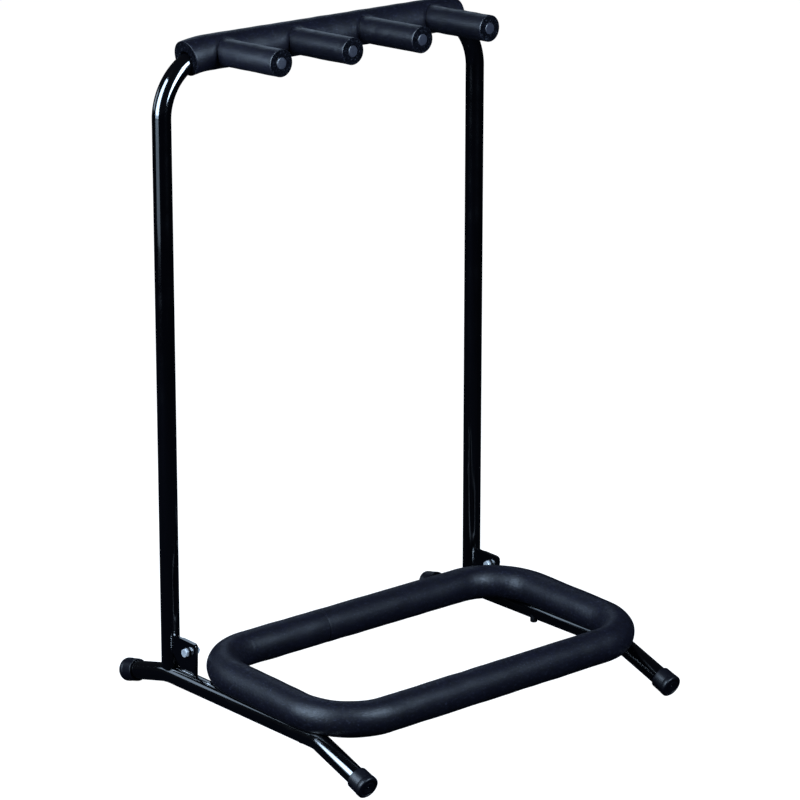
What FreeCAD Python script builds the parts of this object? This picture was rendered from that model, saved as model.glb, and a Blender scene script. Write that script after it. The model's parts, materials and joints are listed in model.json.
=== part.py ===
import FreeCAD, Part
import math
import os
from FreeCAD import Vector

# Folding three-space guitar rack. Millimetres, +Z up, the front is -Y and the left side is -X.
# The origin is on the floor, under the middle of the overall box.

# Steel tube used for the feet, the uprights and the cradle
TUBE_R = 19.05 / 2
TUBE_WALL = 1.2
FOAM_R = 35.4 / 2

# Foot tubes: raised in the middle, bent down at both ends
FOOT_X = 205.0
REAR_TIP_Y = 189.3
REAR_BEND_Y = 122.5
REAR_SLOPE = 15.5
REAR_BEND_R = 90.0
FRONT_TIP_Y = -188.9
FRONT_BEND_Y = -113.5
FRONT_SLOPE = 17.9
FRONT_BEND_R = 28.0

# Slip-on rubber caps
CAP_R = 12.0
CAP_LENGTH = 18.6
CAP_END_WALL = 3.0
CAP_EDGE_R = 2.0
CAP_LIP = 0.6
CAP_FLAT_DEPTH = 0.6
CAP_DIMPLE_R = 2.2
CAP_DIMPLE_DEPTH = 0.5

# Bent upright frame, leaning back a little
UPRIGHT_BASE_Y = 117.5
LEAN = 2.1
TOP_BAR_HEIGHT = 658.0
TOP_BEND_R = 60.0
SADDLE_GAP = 0.3
UPRIGHT_CUT_Z = 36.0

# Foam on the top bar. It runs on a little past the start of both bends, and bends less than the tube
BAR_FOAM_PAST_BEND = 29.0
BAR_FOAM_BEND_R = 150.0

# Padded prongs that part the guitar necks
PRONG_PITCH = 90.0
PRONG_COUNT = 4
PRONG_RISE = 3.4
PRONG_REACH = 99.0
PRONG_ROD_R = 6.0
PRONG_ROD_WALL = 1.2
PRONG_FOAM_R = 13.5
PLUG_FLANGE = 1.4
PLUG_DEPTH = 9.0
PLUG_EDGE_R = 0.7
PLUG_PROUD = 0.6
SLEEVE_GAP = 0.05

# Padded cradle loop
CRADLE_X = 203.5
CRADLE_BACK_Y = 72.5
CRADLE_FRONT_Y = -143.0
CRADLE_Z = 55.8
CRADLE_CORNER_R = 59.0
FOAM_TO_FOOT_GAP = 0.05

# Screws that hold the cradle down on the feet
SCREW_X = 199.5
SCREW_YS = (12.5, -83.5)
SCREW_R = 2.4
SCREW_HOLE_R = 2.5
SCREW_HEAD_R = 3.9
SCREW_HEAD_LOW_Z = 20.6
SCREW_HEAD_EDGE = 1.1
SCREW_TOP_Z = 53.0

# Hinge between each upright and its foot. Both hinges are the same way round: going towards -X come
# the nut, the bracket, the lug, the washer and the bolt's head.
PIVOT_Y = 85.0
PIVOT_Z = 63.5
PLATE_THICK = 3.0
PLATE_GAP = 0.3
BRACKET_FRONT = 9.2
BRACKET_REAR = 17.0
BRACKET_TOP = 10.0
BRACKET_CORNER_R = 4.0
LUG_FRONT = 13.3
LUG_TOP = 11.3
LUG_BOTTOM = 16.5
LUG_CORNER_R = 3.0
LUG_LOW_CORNER_R = 7.0
LUG_NOTCH = 8.0
BOLT_R = 2.5
BOLT_HOLE_R = 2.55
HEX_FLATS = 8.0
HEX_CHAMFER = 30.0
BOLT_HEAD_THICK = 3.5
CROSS_RECESS_LENGTH = 4.4
CROSS_RECESS_WIDTH = 1.0
CROSS_RECESS_DEPTH = 1.4
WASHER_R = 5.3
WASHER_THICK = 1.0
WASHER_PLAY = 0.2
NUT_FLANGE_R = 5.9
NUT_FLANGE_THICK = 1.2
NUT_THICK = 4.7
BOLT_TAIL = 1.6

# How far cutting tools run past what they cut, and a length too small to matter
MARGIN = 1.0
TINY = 0.01

X_AXIS = Vector(1, 0, 0)
Z_AXIS = Vector(0, 0, 1)
ORIGIN = Vector(0, 0, 0)


def rounded_corner(before, corner, after, radius):
    """Start, middle and end of the arc that rounds the corner between two straight sides."""
    back = (before - corner).normalize()
    ahead = (after - corner).normalize()
    half = back.getAngle(ahead) / 2
    reach = radius / math.tan(half)
    middle = corner + (back + ahead).normalize() * (radius / math.sin(half) - radius)
    return corner + back * reach, middle, corner + ahead * reach


def bent_path(points, radii, closed=False):
    """Straight runs joined by tangent arcs of the given radii; a radius of 0 leaves a sharp corner."""
    count = len(points)
    corners = range(count) if closed else range(1, count - 1)
    bends = {}
    for corner, radius in zip(corners, radii):
        after = points[(corner + 1) % count]
        bends[corner] = rounded_corner(points[corner - 1], points[corner], after, radius)
    edges = []
    for index in range(count if closed else count - 1):
        following = (index + 1) % count
        leave = bends[index][2] if index in bends else points[index]
        arrive = bends[following][0] if following in bends else points[following]
        edges.append(Part.LineSegment(leave, arrive).toShape())
        if following in bends and not arrive.isEqual(bends[following][2], TINY):
            edges.append(Part.Arc(*bends[following]).toShape())
    return Part.Wire(edges)


def rod_along(path, radius):
    """Solid of a round section carried along a path."""
    first = path.Edges[0]
    start = first.valueAt(first.FirstParameter)
    direction = first.tangentAt(first.FirstParameter)
    disc = Part.Wire(Part.makeCircle(radius, start, direction))
    return path.makePipeShell([disc], True, False)


def tube_along(path, radius, wall):
    """Hollow round tube along a path."""
    return rod_along(path, radius).cut(rod_along(path, radius - wall))


def cylinder(radius, start, end):
    way = end - start
    return Part.makeCylinder(radius, way.Length, start, way)


def mirrored(shape):
    return shape.mirror(ORIGIN, X_AXIS)


def both_sides(shape):
    return Part.makeCompound([shape, mirrored(shape)])


def clean(shape):
    """Merged faces, and a lone solid instead of a compound that holds just one."""
    merged = shape.removeSplitter()
    if len(merged.Solids) == 1:
        return merged.Solids[0]
    return Part.makeCompound(merged.Solids)


# ---------------------------------------------------------------- feet

def cap_centre_height(slope):
    """Height of a cap's end centre, so that its rounded lower edge just sinks to the flat."""
    tilt = math.radians(slope)
    drop = (CAP_R - CAP_EDGE_R) * math.cos(tilt) + CAP_EDGE_R - CAP_EDGE_R * math.sin(tilt)
    return drop - CAP_FLAT_DEPTH


def foot_points():
    rear_tip_z = cap_centre_height(REAR_SLOPE)
    front_tip_z = cap_centre_height(FRONT_SLOPE)
    rear_z = rear_tip_z + (REAR_TIP_Y - REAR_BEND_Y) * math.tan(math.radians(REAR_SLOPE))
    front_z = front_tip_z + (FRONT_BEND_Y - FRONT_TIP_Y) * math.tan(math.radians(FRONT_SLOPE))
    return [
        Vector(FOOT_X, REAR_TIP_Y, rear_tip_z),
        Vector(FOOT_X, REAR_BEND_Y, rear_z),
        Vector(FOOT_X, FRONT_BEND_Y, front_z),
        Vector(FOOT_X, FRONT_TIP_Y, front_tip_z),
    ]


def foot_path():
    """Centre line of the tube, whose ends stop inside the caps."""
    rear_tip, rear_bend, front_bend, front_tip = foot_points()
    rear_end = rear_tip + (rear_bend - rear_tip).normalize() * CAP_END_WALL
    front_end = front_tip + (front_bend - front_tip).normalize() * CAP_END_WALL
    return bent_path([rear_end, rear_bend, front_bend, front_end], [REAR_BEND_R, FRONT_BEND_R])


def foot_cap(tip, bend):
    """Rubber cup with a rounded end, a dimple in its face and a small flat where it rests."""
    inward = (bend - tip).normalize()
    cup = Part.makeCylinder(CAP_R, CAP_LENGTH)
    end_edge = [edge for edge in cup.Edges if edge.BoundBox.ZMax < TINY]
    cup = cup.makeFillet(CAP_EDGE_R, end_edge)
    mouth_edge = [edge for edge in cup.Edges if edge.BoundBox.ZMin > CAP_LENGTH - TINY]
    cup = cup.makeFillet(CAP_LIP, mouth_edge)
    bore = Part.makeCylinder(TUBE_R, CAP_LENGTH, Vector(0, 0, CAP_END_WALL))
    dimple = Part.makeCylinder(CAP_DIMPLE_R, CAP_DIMPLE_DEPTH)
    cup = cup.cut(bore).cut(dimple)
    cup.Placement = FreeCAD.Placement(tip, FreeCAD.Rotation(Z_AXIS, inward))
    reach = 2 * CAP_LENGTH
    floor = Part.makeBox(2 * reach, 2 * reach, CAP_R, Vector(tip.x - reach, tip.y - reach, -CAP_R))
    return cup.cut(floor)


# ---------------------------------------------------------------- uprights and neck rest

def frame_point(x, height):
    """Point in the leaning plane of the upright frame at a height above the floor."""
    base_z = foot_points()[1].z
    setback = (height - base_z) * math.tan(math.radians(LEAN))
    return Vector(x, UPRIGHT_BASE_Y + setback, height)


def frame_path():
    low = foot_points()[1].z
    corners = [
        frame_point(-FOOT_X, low),
        frame_point(-FOOT_X, TOP_BAR_HEIGHT),
        frame_point(FOOT_X, TOP_BAR_HEIGHT),
        frame_point(FOOT_X, low),
    ]
    return bent_path(corners, [TOP_BEND_R, TOP_BEND_R])


def upright_frame():
    """Bent tube whose lower ends are shaped to straddle the foot tubes."""
    frame = tube_along(frame_path(), TUBE_R, TUBE_WALL)
    seat = rod_along(foot_path(), TUBE_R + SADDLE_GAP)
    half_width = FOOT_X + 2 * TUBE_R
    corner = Vector(-half_width, UPRIGHT_BASE_Y - 2 * TUBE_R, 0)
    below = Part.makeBox(2 * half_width, 4 * TUBE_R, UPRIGHT_CUT_Z, corner)
    return clean(frame.cut(both_sides(seat)).cut(below))


def bar_foam_path():
    """Centre line of the bar foam: the straight bar and a gentle bend over the start of each tube bend."""
    up = (frame_point(0, 1) - frame_point(0, 0)).normalize()
    bend_start = frame_point(FOOT_X - TOP_BEND_R, TOP_BAR_HEIGHT)
    wrap = BAR_FOAM_PAST_BEND / BAR_FOAM_BEND_R

    def on_bend(side, angle):
        aside = bend_start.x + BAR_FOAM_BEND_R * math.sin(angle)
        drop = BAR_FOAM_BEND_R * (1 - math.cos(angle))
        return Vector(side * aside, bend_start.y, bend_start.z) - up * drop

    left = Part.Arc(on_bend(-1, wrap), on_bend(-1, wrap / 2), on_bend(-1, 0)).toShape()
    bar = Part.LineSegment(on_bend(-1, 0), on_bend(1, 0)).toShape()
    right = Part.Arc(on_bend(1, 0), on_bend(1, wrap / 2), on_bend(1, wrap)).toShape()
    return Part.Wire([left, bar, right])


def prong_axis(index):
    """Root on the bar's centre line, and tip, of a prong counted from the left."""
    root = frame_point((index - (PRONG_COUNT - 1) / 2) * PRONG_PITCH, TOP_BAR_HEIGHT)
    rise = math.radians(PRONG_RISE)
    return root, root + Vector(0, -math.cos(rise), math.sin(rise)) * PRONG_REACH


def prong_rod(index):
    """Short tube coped to the bar."""
    root, tip = prong_axis(index)
    end = tip - (tip - root).normalize() * PLUG_FLANGE
    tube = cylinder(PRONG_ROD_R, root, end).cut(cylinder(PRONG_ROD_R - PRONG_ROD_WALL, root, end))
    return clean(tube.cut(rod_along(frame_path(), TUBE_R)))


def prong_foam(index):
    """Foam sleeve coped to the bar foam, ending just short of the plug's face."""
    root, tip = prong_axis(index)
    end = tip - (tip - root).normalize() * PLUG_PROUD
    sleeve = cylinder(PRONG_FOAM_R, root, end)
    sleeve = sleeve.cut(cylinder(PRONG_ROD_R + SLEEVE_GAP, root, tip))
    return clean(sleeve.cut(rod_along(bar_foam_path(), FOAM_R + SLEEVE_GAP)))


def prong_plug(index):
    """Plug with a rounded face edge that closes the rod's open end."""
    root, tip = prong_axis(index)
    inward = (root - tip).normalize()
    flange = Part.makeCylinder(PRONG_ROD_R, PLUG_FLANGE)
    face_edge = [edge for edge in flange.Edges if edge.BoundBox.ZMax < TINY]
    flange = flange.makeFillet(PLUG_EDGE_R, face_edge)
    stem_base = Vector(0, 0, PLUG_EDGE_R)
    stem = Part.makeCylinder(PRONG_ROD_R - PRONG_ROD_WALL, PLUG_DEPTH - PLUG_EDGE_R, stem_base)
    plug = clean(flange.fuse(stem))
    plug.Placement = FreeCAD.Placement(tip, FreeCAD.Rotation(Z_AXIS, inward))
    return plug


def bar_foam():
    foam = rod_along(bar_foam_path(), FOAM_R).cut(rod_along(frame_path(), TUBE_R))
    for index in range(PRONG_COUNT):
        root, tip = prong_axis(index)
        foam = foam.cut(cylinder(PRONG_ROD_R + SLEEVE_GAP, root, tip))
    return clean(foam)


# ---------------------------------------------------------------- cradle

def cradle_path():
    """Rounded rectangle, started halfway along the back bar."""
    corners = [
        Vector(0, CRADLE_BACK_Y, CRADLE_Z),
        Vector(CRADLE_X, CRADLE_BACK_Y, CRADLE_Z),
        Vector(CRADLE_X, CRADLE_FRONT_Y, CRADLE_Z),
        Vector(-CRADLE_X, CRADLE_FRONT_Y, CRADLE_Z),
        Vector(-CRADLE_X, CRADLE_BACK_Y, CRADLE_Z),
        Vector(0, CRADLE_BACK_Y, CRADLE_Z),
    ]
    return bent_path(corners, [CRADLE_CORNER_R] * 4)


def at_screws(make):
    """One copy of a shape at each of the four screw places."""
    right = [make(SCREW_X, y) for y in SCREW_YS]
    return Part.makeCompound(right + [mirrored(shape) for shape in right])


def screw_hole(x, y):
    return cylinder(SCREW_HOLE_R, Vector(x, y, 0), Vector(x, y, SCREW_TOP_Z + MARGIN))


def cradle_screw(x, y):
    """Pan-head screw whose head sits against the underside of the foot tube."""
    foot_z = foot_points()[1].z
    head = cylinder(SCREW_HEAD_R, Vector(x, y, SCREW_HEAD_LOW_Z), Vector(x, y, foot_z))
    low_edge = [edge for edge in head.Edges if edge.BoundBox.ZMax < SCREW_HEAD_LOW_Z + TINY]
    head = head.makeFillet(SCREW_HEAD_EDGE, low_edge)
    head = head.cut(rod_along(foot_path(), TUBE_R))
    shank = cylinder(SCREW_R, Vector(x, y, SCREW_HEAD_LOW_Z + SCREW_HEAD_EDGE), Vector(x, y, SCREW_TOP_Z))
    return clean(head.fuse(shank))


def cradle_frame():
    loop = tube_along(cradle_path(), TUBE_R, TUBE_WALL)
    return clean(loop.cut(at_screws(screw_hole)))


def cradle_foam():
    """Foam round the loop, pressed in where it lies on the foot tubes."""
    foam = rod_along(cradle_path(), FOAM_R).cut(rod_along(cradle_path(), TUBE_R))
    pressed = both_sides(rod_along(foot_path(), TUBE_R + FOAM_TO_FOOT_GAP))
    return clean(foam.cut(pressed).cut(at_screws(screw_hole)))


def foot_tube():
    foot = tube_along(foot_path(), TUBE_R, TUBE_WALL)
    for y in SCREW_YS:
        foot = foot.cut(screw_hole(SCREW_X, y))
    return clean(foot)


# ---------------------------------------------------------------- hinge, made at the left foot

BRACKET_LOW_X = -FOOT_X - PLATE_THICK / 2
LUG_LOW_X = BRACKET_LOW_X - PLATE_GAP - PLATE_THICK
WASHER_LOW_X = LUG_LOW_X - WASHER_PLAY - WASHER_THICK
NUT_LOW_X = BRACKET_LOW_X + PLATE_THICK


def moved_right(shape):
    """Copy of a left hinge piece at the right foot."""
    copy = shape.copy()
    copy.translate(X_AXIS * (2 * FOOT_X))
    return copy


def at_both_hinges(shape):
    return Part.makeCompound([shape, moved_right(shape)])


def disc_at(low_x, radius, thick):
    return cylinder(radius, Vector(low_x, PIVOT_Y, PIVOT_Z), Vector(low_x + thick, PIVOT_Y, PIVOT_Z))


def side_plate(outline, low_x):
    """Plate with the bolt hole, cut to an outline of (ahead of the pivot, above the pivot, corner radius)."""
    points = [Vector(low_x, PIVOT_Y - ahead, PIVOT_Z + above) for ahead, above, radius in outline]
    radii = [radius for ahead, above, radius in outline]
    plate = Part.Face(bent_path(points, radii, closed=True)).extrude(X_AXIS * PLATE_THICK)
    return plate.cut(disc_at(low_x - MARGIN, BOLT_HOLE_R, PLATE_THICK + 2 * MARGIN))


def hinge_bracket():
    """Plate standing on the foot tube."""
    sunk = PIVOT_Z - foot_points()[1].z
    outline = [
        (-BRACKET_REAR, BRACKET_TOP, BRACKET_CORNER_R),
        (BRACKET_FRONT, BRACKET_TOP, BRACKET_CORNER_R),
        (BRACKET_FRONT, -sunk, 0),
        (-BRACKET_REAR, -sunk, 0),
    ]
    foot = mirrored(rod_along(foot_path(), TUBE_R))
    return clean(side_plate(outline, BRACKET_LOW_X).cut(foot))


def hinge_lug():
    """Plate on the front of the upright, beside the bracket."""
    into_tube = UPRIGHT_BASE_Y - PIVOT_Y
    outline = [
        (-into_tube, LUG_TOP, 0),
        (LUG_FRONT, LUG_TOP, LUG_CORNER_R),
        (LUG_FRONT, -LUG_BOTTOM, LUG_LOW_CORNER_R),
        (LUG_NOTCH - into_tube + TUBE_R, -LUG_BOTTOM, 0),
        (-into_tube + TUBE_R, LUG_NOTCH - LUG_BOTTOM, 0),
        (-into_tube, LUG_NOTCH - LUG_BOTTOM, 0),
    ]
    return clean(side_plate(outline, LUG_LOW_X).cut(rod_along(frame_path(), TUBE_R)))


def hexagon(base_x, thick, way):
    """Hexagonal block round the pivot, its corners rounded off at the end that points along way."""
    radius = HEX_FLATS / math.sqrt(3)
    corners = []
    for step in range(7):
        angle = math.radians(60 * step + 30)
        corners.append(Vector(base_x, PIVOT_Y + radius * math.cos(angle), PIVOT_Z + radius * math.sin(angle)))
    block = Part.Face(Part.makePolygon(corners)).extrude(way * thick)
    widest = HEX_FLATS / 2 + thick * math.tan(math.radians(HEX_CHAMFER))
    cone = Part.makeCone(widest, HEX_FLATS / 2, thick, Vector(base_x, PIVOT_Y, PIVOT_Z), way)
    return block.common(cone)


def hinge_washer():
    washer = disc_at(WASHER_LOW_X, WASHER_R, WASHER_THICK)
    return washer.cut(disc_at(WASHER_LOW_X - MARGIN, BOLT_HOLE_R, WASHER_THICK + 2 * MARGIN))


def hinge_bolt():
    """Hexagon head with a cross recess on the lug's side, threaded end on the bracket's."""
    tail_x = NUT_LOW_X + NUT_FLANGE_THICK + NUT_THICK + BOLT_TAIL
    head = hexagon(WASHER_LOW_X, BOLT_HEAD_THICK, -X_AXIS)
    face_x = WASHER_LOW_X - BOLT_HEAD_THICK
    slot = (CROSS_RECESS_LENGTH, CROSS_RECESS_WIDTH)
    for size_y, size_z in (slot, slot[::-1]):
        corner = Vector(face_x - MARGIN, PIVOT_Y - size_y / 2, PIVOT_Z - size_z / 2)
        head = head.cut(Part.makeBox(CROSS_RECESS_DEPTH + MARGIN, size_y, size_z, corner))
    return clean(head.fuse(disc_at(WASHER_LOW_X, BOLT_R, tail_x - WASHER_LOW_X)))


def hinge_nut():
    """Flange nut against the bracket."""
    flange = disc_at(NUT_LOW_X, NUT_FLANGE_R, NUT_FLANGE_THICK)
    body = hexagon(NUT_LOW_X + NUT_FLANGE_THICK, NUT_THICK, X_AXIS)
    bore = disc_at(NUT_LOW_X - MARGIN, BOLT_R, NUT_THICK + NUT_FLANGE_THICK + 2 * MARGIN)
    return clean(flange.fuse(body).cut(bore))


# ---------------------------------------------------------------- nodes

def base_nodes():
    rear_tip, rear_bend, front_bend, front_tip = foot_points()
    right = {
        "foot_right": foot_tube(),
        "foot_cap_front_right": foot_cap(front_tip, front_bend),
        "foot_cap_rear_right": foot_cap(rear_tip, rear_bend),
    }
    nodes = dict(right)
    for name, shape in right.items():
        nodes[name.replace("right", "left")] = mirrored(shape)
    nodes["cradle_frame"] = cradle_frame()
    nodes["cradle_foam"] = cradle_foam()
    nodes["cradle_screws"] = at_screws(cradle_screw)
    nodes["hinge_bracket_left"] = hinge_bracket()
    nodes["hinge_bracket_right"] = moved_right(nodes["hinge_bracket_left"])
    nodes["hinge_bolts"] = at_both_hinges(hinge_bolt())
    nodes["hinge_washers"] = at_both_hinges(hinge_washer())
    nodes["hinge_nuts"] = at_both_hinges(hinge_nut())
    return nodes


def upright_nodes():
    lug = hinge_lug()
    nodes = {
        "upright_frame": upright_frame(),
        "hinge_lug_left": lug,
        "hinge_lug_right": moved_right(lug),
        "neck_rest_foam": bar_foam(),
    }
    for index in range(PRONG_COUNT):
        nodes["prong_rod_%d" % (index + 1)] = prong_rod(index)
        nodes["prong_foam_%d" % (index + 1)] = prong_foam(index)
        nodes["prong_plug_%d" % (index + 1)] = prong_plug(index)
    return nodes


def main():
    os.makedirs("parts", exist_ok=True)
    nodes = base_nodes()
    nodes.update(upright_nodes())
    for name, shape in nodes.items():
        print("%-22s valid %s, solids %d, volume %.1f mm3"
              % (name, shape.isValid(), len(shape.Solids), shape.Volume))
        shape.exportStep("parts/%s.step" % name)
    box = Part.makeCompound(list(nodes.values())).BoundBox
    print("box X %.2f %.2f  Y %.2f %.2f  Z %.2f %.2f"
          % (box.XMin, box.XMax, box.YMin, box.YMax, box.ZMin, box.ZMax))


main()
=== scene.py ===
import json
import math

import bmesh
import bpy
import numpy as np
from mathutils import Matrix, Vector

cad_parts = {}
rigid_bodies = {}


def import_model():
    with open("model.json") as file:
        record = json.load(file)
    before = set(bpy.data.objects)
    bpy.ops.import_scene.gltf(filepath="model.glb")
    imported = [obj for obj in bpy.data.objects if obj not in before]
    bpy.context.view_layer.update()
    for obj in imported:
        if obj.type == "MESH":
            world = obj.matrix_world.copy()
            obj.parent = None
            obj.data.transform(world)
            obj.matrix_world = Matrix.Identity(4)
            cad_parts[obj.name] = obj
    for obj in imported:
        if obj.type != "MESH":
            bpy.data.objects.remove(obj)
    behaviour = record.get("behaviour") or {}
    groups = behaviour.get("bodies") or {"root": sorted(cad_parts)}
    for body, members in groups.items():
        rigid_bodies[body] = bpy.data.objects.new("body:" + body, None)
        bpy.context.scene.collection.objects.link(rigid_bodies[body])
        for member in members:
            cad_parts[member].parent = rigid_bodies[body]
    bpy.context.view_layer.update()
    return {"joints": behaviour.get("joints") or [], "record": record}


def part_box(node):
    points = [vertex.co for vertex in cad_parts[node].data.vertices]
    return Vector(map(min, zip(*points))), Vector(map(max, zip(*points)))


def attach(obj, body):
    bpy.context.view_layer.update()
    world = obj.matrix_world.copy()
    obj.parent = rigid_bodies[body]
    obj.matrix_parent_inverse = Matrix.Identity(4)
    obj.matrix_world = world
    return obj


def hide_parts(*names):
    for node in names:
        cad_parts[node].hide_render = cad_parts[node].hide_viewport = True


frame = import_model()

# Looks of the folding guitar rack. Metres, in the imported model's frame: +Z up, the front is -Y.

MM = 0.001
WHOLE_TURN = 2 * math.pi

# ---------------------------------------------------------------- sizes

FOOT_LOW, FOOT_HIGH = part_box("foot_right")
FOOT_X = (FOOT_LOW.x + FOOT_HIGH.x) / 2
TUBE_R = (FOOT_HIGH.x - FOOT_LOW.x) / 2

CRADLE_LOW, CRADLE_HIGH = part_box("cradle_foam")
CRADLE_X = 203.5 * MM
FOAM_R = (CRADLE_HIGH.x - CRADLE_LOW.x) / 2 - CRADLE_X
CRADLE_Z = CRADLE_HIGH.z - FOAM_R
CRADLE_BACK_Y = CRADLE_HIGH.y - FOAM_R
CRADLE_FRONT_Y = CRADLE_LOW.y + FOAM_R
CRADLE_CORNER_R = 59 * MM
SEAM_X = -47 * MM
SEAM_GAP = 0.5 * MM
FOOT_CLEARANCE = 0.1 * MM

UPRIGHT_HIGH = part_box("upright_frame")[1]
BAR_Y = UPRIGHT_HIGH.y - TUBE_R
BAR_Z = UPRIGHT_HIGH.z - TUBE_R
BAR_BEND_R = 60 * MM
BAR_FOAM_PAST_BEND = 29 * MM
BAR_FOAM_BEND_R = 150 * MM
LEAN = math.radians(2.1)
UP_THE_FRAME = np.array((0, math.sin(LEAN), math.cos(LEAN)))
OFF_THE_FRAME = np.array((0, -math.cos(LEAN), math.sin(LEAN)))

PRONG_COUNT = 4
PRONG_PITCH = 90 * MM
PRONG_RISE = math.radians(3.4)
PRONG_WAY = np.array((0, -math.cos(PRONG_RISE), math.sin(PRONG_RISE)))
PRONG_R = 13.5 * MM
PRONG_REACH = 98.4 * MM
PRONG_BORE_R = 6.1 * MM

PLUG_R = 5.95 * MM
PLUG_EDGE_R = 0.9 * MM
PLUG_FLANGE = 1.4 * MM
PLUG_STEM_R = 4.7 * MM
PLUG_STEM_END = 9 * MM
PLUG_DEPTHS = (0, 0.5 * MM, 0.1 * MM, 0.2 * MM)

CAP_R = 12 * MM
CAP_LENGTH = 18.6 * MM
CAP_EDGE_R = 2 * MM
CAP_SINK = 0.6 * MM
CAP_END_WALL = 3 * MM
REAR_SLOPE = math.radians(15.5)
FRONT_SLOPE = math.radians(17.9)
REAR_BEND_Y = 122.5 * MM
FRONT_BEND_Y = -113.5 * MM
REAR_BEND_R = 90 * MM
FRONT_BEND_R = 28 * MM
TUBE_WALL = 1.2 * MM
TUBE_COLUMNS = 120
SADDLE_GAP = 0.3 * MM
UPRIGHT_CUT_Z = 36 * MM

# Middle of the hinge axis, which both bolts lie on
PIVOT = Vector(frame["joints"][0]["pos_m"])

X_AXIS = np.array((1.0, 0, 0))
Z_AXIS = np.array((0, 0, 1.0))


# ---------------------------------------------------------------- node trees

class Tree:
    """Short ways to add and join the nodes of one material."""

    def __init__(self, name):
        self.material = bpy.data.materials.new(name)
        self.material.use_nodes = True
        self.tree = self.material.node_tree
        self.shader = self.tree.nodes["Principled BSDF"]
        self.place = self.tree.nodes.new("ShaderNodeTexCoord").outputs["Object"]

    def node(self, kind, **settings):
        node = self.tree.nodes.new("ShaderNode" + kind)
        for name, value in settings.items():
            setattr(node, name, value)
        return node

    def put(self, socket, value):
        """Joins a socket to an output, or sets its value."""
        if isinstance(value, bpy.types.NodeSocket):
            self.tree.links.new(value, socket)
        else:
            socket.default_value = value

    def stretched(self, along):
        """Object coordinates scaled along the axes."""
        mapping = self.node("Mapping")
        self.put(mapping.inputs["Vector"], self.place)
        self.put(mapping.inputs["Scale"], along)
        return mapping.outputs["Vector"]

    def noise(self, size, detail=3, place=None, rough=0.55):
        """Soft noise whose blobs are about size metres across."""
        node = self.node("TexNoise")
        self.put(node.inputs["Vector"], place or self.place)
        self.put(node.inputs["Scale"], 1 / size)
        self.put(node.inputs["Detail"], detail)
        self.put(node.inputs["Roughness"], rough)
        return node.outputs["Fac"]

    def cells(self, size, place=None):
        """Distance to the nearest of seeds about size metres apart."""
        node = self.node("TexVoronoi")
        self.put(node.inputs["Vector"], place or self.place)
        self.put(node.inputs["Scale"], 1 / size)
        return node.outputs["Distance"]

    def spread(self, value, low, high, out_low=0.0, out_high=1.0):
        """Maps low..high to out_low..out_high, held at both ends."""
        node = self.node("MapRange")
        for name, number in (("Value", value), ("From Min", low), ("From Max", high),
                             ("To Min", out_low), ("To Max", out_high)):
            self.put(node.inputs[name], number)
        return node.outputs["Result"]

    def sums(self, operation, first, second):
        """One step of arithmetic on two values."""
        node = self.node("Math", operation=operation)
        self.put(node.inputs[0], first)
        self.put(node.inputs[1], second)
        return node.outputs[0]

    def blend(self, amount, first, second):
        """Mixes two colours."""
        node = self.node("Mix", data_type="RGBA")
        self.put(node.inputs["Factor"], amount)
        for socket, colour in ((node.inputs[6], first), (node.inputs[7], second)):
            self.put(socket, colour if isinstance(colour, bpy.types.NodeSocket) else (*colour, 1))
        return node.outputs[2]

    def bump(self, height, distance, strength=1.0, under=None):
        node = self.node("Bump")
        self.put(node.inputs["Height"], height)
        self.put(node.inputs["Distance"], distance)
        self.put(node.inputs["Strength"], strength)
        if under:
            self.put(node.inputs["Normal"], under)
        return node.outputs["Normal"]

    def finish(self, **sockets):
        """Sets the shader's sockets, named with underscores for spaces."""
        for name, value in sockets.items():
            self.put(self.shader.inputs[name.replace("_", " ")], value)
        return self.material


# ---------------------------------------------------------------- materials

def black_paint():
    """Gloss black paint with a little orange peel, dust and a few rubbed patches."""
    tree = Tree("gloss_black_paint")
    dust = tree.spread(tree.noise(0.6 * MM, 4), 0.64, 0.8)
    patches = tree.spread(tree.noise(28 * MM, 4), 0.4, 0.75)
    colour = tree.blend(tree.sums("MULTIPLY", dust, 0.3), (0.0006, 0.0006, 0.001), (0.01, 0.011, 0.015))
    peel = tree.bump(tree.noise(2.6 * MM, 2), 0.01 * MM, 0.4)
    grain = tree.bump(tree.noise(0.5 * MM, 2), 0.002 * MM, 0.4, peel)
    return tree.finish(
        Base_Color=colour,
        Roughness=tree.spread(patches, 0, 1, 0.09, 0.17),
        Normal=grain,
        Specular_IOR_Level=0.8,
        Coat_Weight=1.0,
        Coat_Roughness=0.04,
    )


def weld_paint():
    """Gloss black paint over a rougher weld bead."""
    tree = Tree("painted_weld")
    spatter = tree.noise(1.6 * MM, 3)
    colour = tree.blend(tree.spread(spatter, 0.4, 0.8), (0.002, 0.002, 0.003), (0.012, 0.013, 0.016))
    return tree.finish(
        Base_Color=colour,
        Roughness=tree.spread(spatter, 0.3, 0.7, 0.16, 0.34),
        Normal=tree.bump(spatter, 0.5 * MM, 0.8),
        Specular_IOR_Level=0.8,
        Coat_Weight=1.0,
        Coat_Roughness=0.08,
    )


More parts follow.
